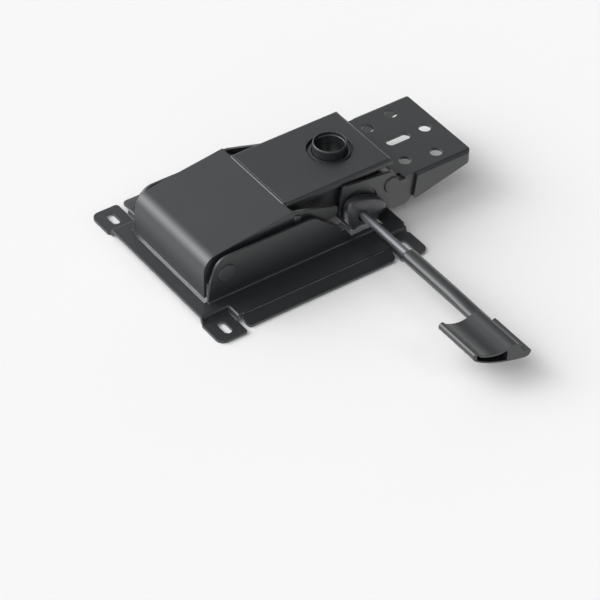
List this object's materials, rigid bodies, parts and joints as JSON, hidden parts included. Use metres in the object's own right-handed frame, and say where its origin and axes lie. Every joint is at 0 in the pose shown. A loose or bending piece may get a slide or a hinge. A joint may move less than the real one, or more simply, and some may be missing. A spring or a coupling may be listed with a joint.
{
  "type": "office chair tilt mechanism",
  "caption": "Synchronous office chair tilt mechanism of black pressed steel: slotted seat plate, gas-lift socket, torsion springs, reclining back bracket and a paddle lever for height and lock.",
  "frame": {"origin": "middle of the four seat-bolt slots, on the face of the seat plate that meets the seat", "axes": "+Z out of the gas-lift socket, away from the seat (down on a standing chair); +Y to the chair's rear, where the back bracket is; +X to the lever side"},
  "size_m": [0.3986, 0.32, 0.0735],
  "materials": {
    "black_coat": "satin",
    "dark_steel": "satin",
    "plated_steel": "satin",
    "spring_steel": "satin",
    "black_plastic": "satin",
    "bush_plastic": "satin",
    "stop_rubber": "matte"
  },
  "bodies": {
    "seat": {"seat_plate": "black_coat", "spring_bar": "dark_steel", "front_axle": "spring_steel", "front_axle_ring": "plated_steel", "spring_spools": "bush_plastic"},
    "housing": {"housing": "black_coat", "chassis_channel": "dark_steel", "taper_socket": "black_coat", "socket_collar": "black_coat", "front_bushes": "bush_plastic", "tie_rod": "spring_steel", "stop_pins": "spring_steel", "pivot_hubs": "dark_steel", "hub_cap": "black_plastic", "lever_boss": "black_plastic", "stop_pads": "stop_rubber", "rocker_bracket": "dark_steel", "tilt_spring_left": "spring_steel", "tilt_spring_right": "spring_steel"},
    "back": {"back_link": "black_coat", "back_bracket": "black_coat", "hub_bushes": "bush_plastic", "link_pin": "spring_steel", "link_pin_ring": "plated_steel"},
    "rocker": {"release_rocker": "bush_plastic", "rocker_pins": "plated_steel"},
    "lever": {"lever_rod": "plated_steel", "rod_clips": "plated_steel", "lever_handle": "black_plastic"},
    "lock": {"lock_plate": "dark_steel"}
  },
  "joints": [
    {"name": "housing_tilt", "type": "hinge", "parent": "seat", "child": "housing", "pos_m": [0, -0.077, 0.034], "axis": [-1, 0, 0], "range_deg": [0, 3.6], "deforming": ["tilt_spring_left", "tilt_spring_right"]},
    {"name": "back_recline", "type": "hinge", "parent": "housing", "child": "back", "pos_m": [0, 0.075, 0.0285], "axis": [1, 0, 0], "range_deg": [0, 18], "stiffness_Nm_per_rad": 60, "springref_deg": -20.05},
    {"name": "lever_lift", "type": "hinge", "parent": "housing", "child": "rocker", "pos_m": [0.033, 0.075, 0.0285], "axis": [0, 1, 0], "range_deg": [0, 4.5], "stiffness_Nm_per_rad": 6, "springref_deg": -8.59},
    {"name": "lever_push", "type": "slide", "parent": "rocker", "child": "lever", "axis": [-1, 0, 0], "range_m": [0, 0.007]},
    {"name": "lock_slide", "type": "slide", "parent": "housing", "child": "lock", "axis": [-1, 0, 0], "range_m": [0, 0.007]}
  ],
  "couplings": [
    {"joint": "housing_tilt", "follows": "back_recline", "ratio": 0.2},
    {"joint": "lock_slide", "follows": "lever_push", "ratio": 1}
  ]
}
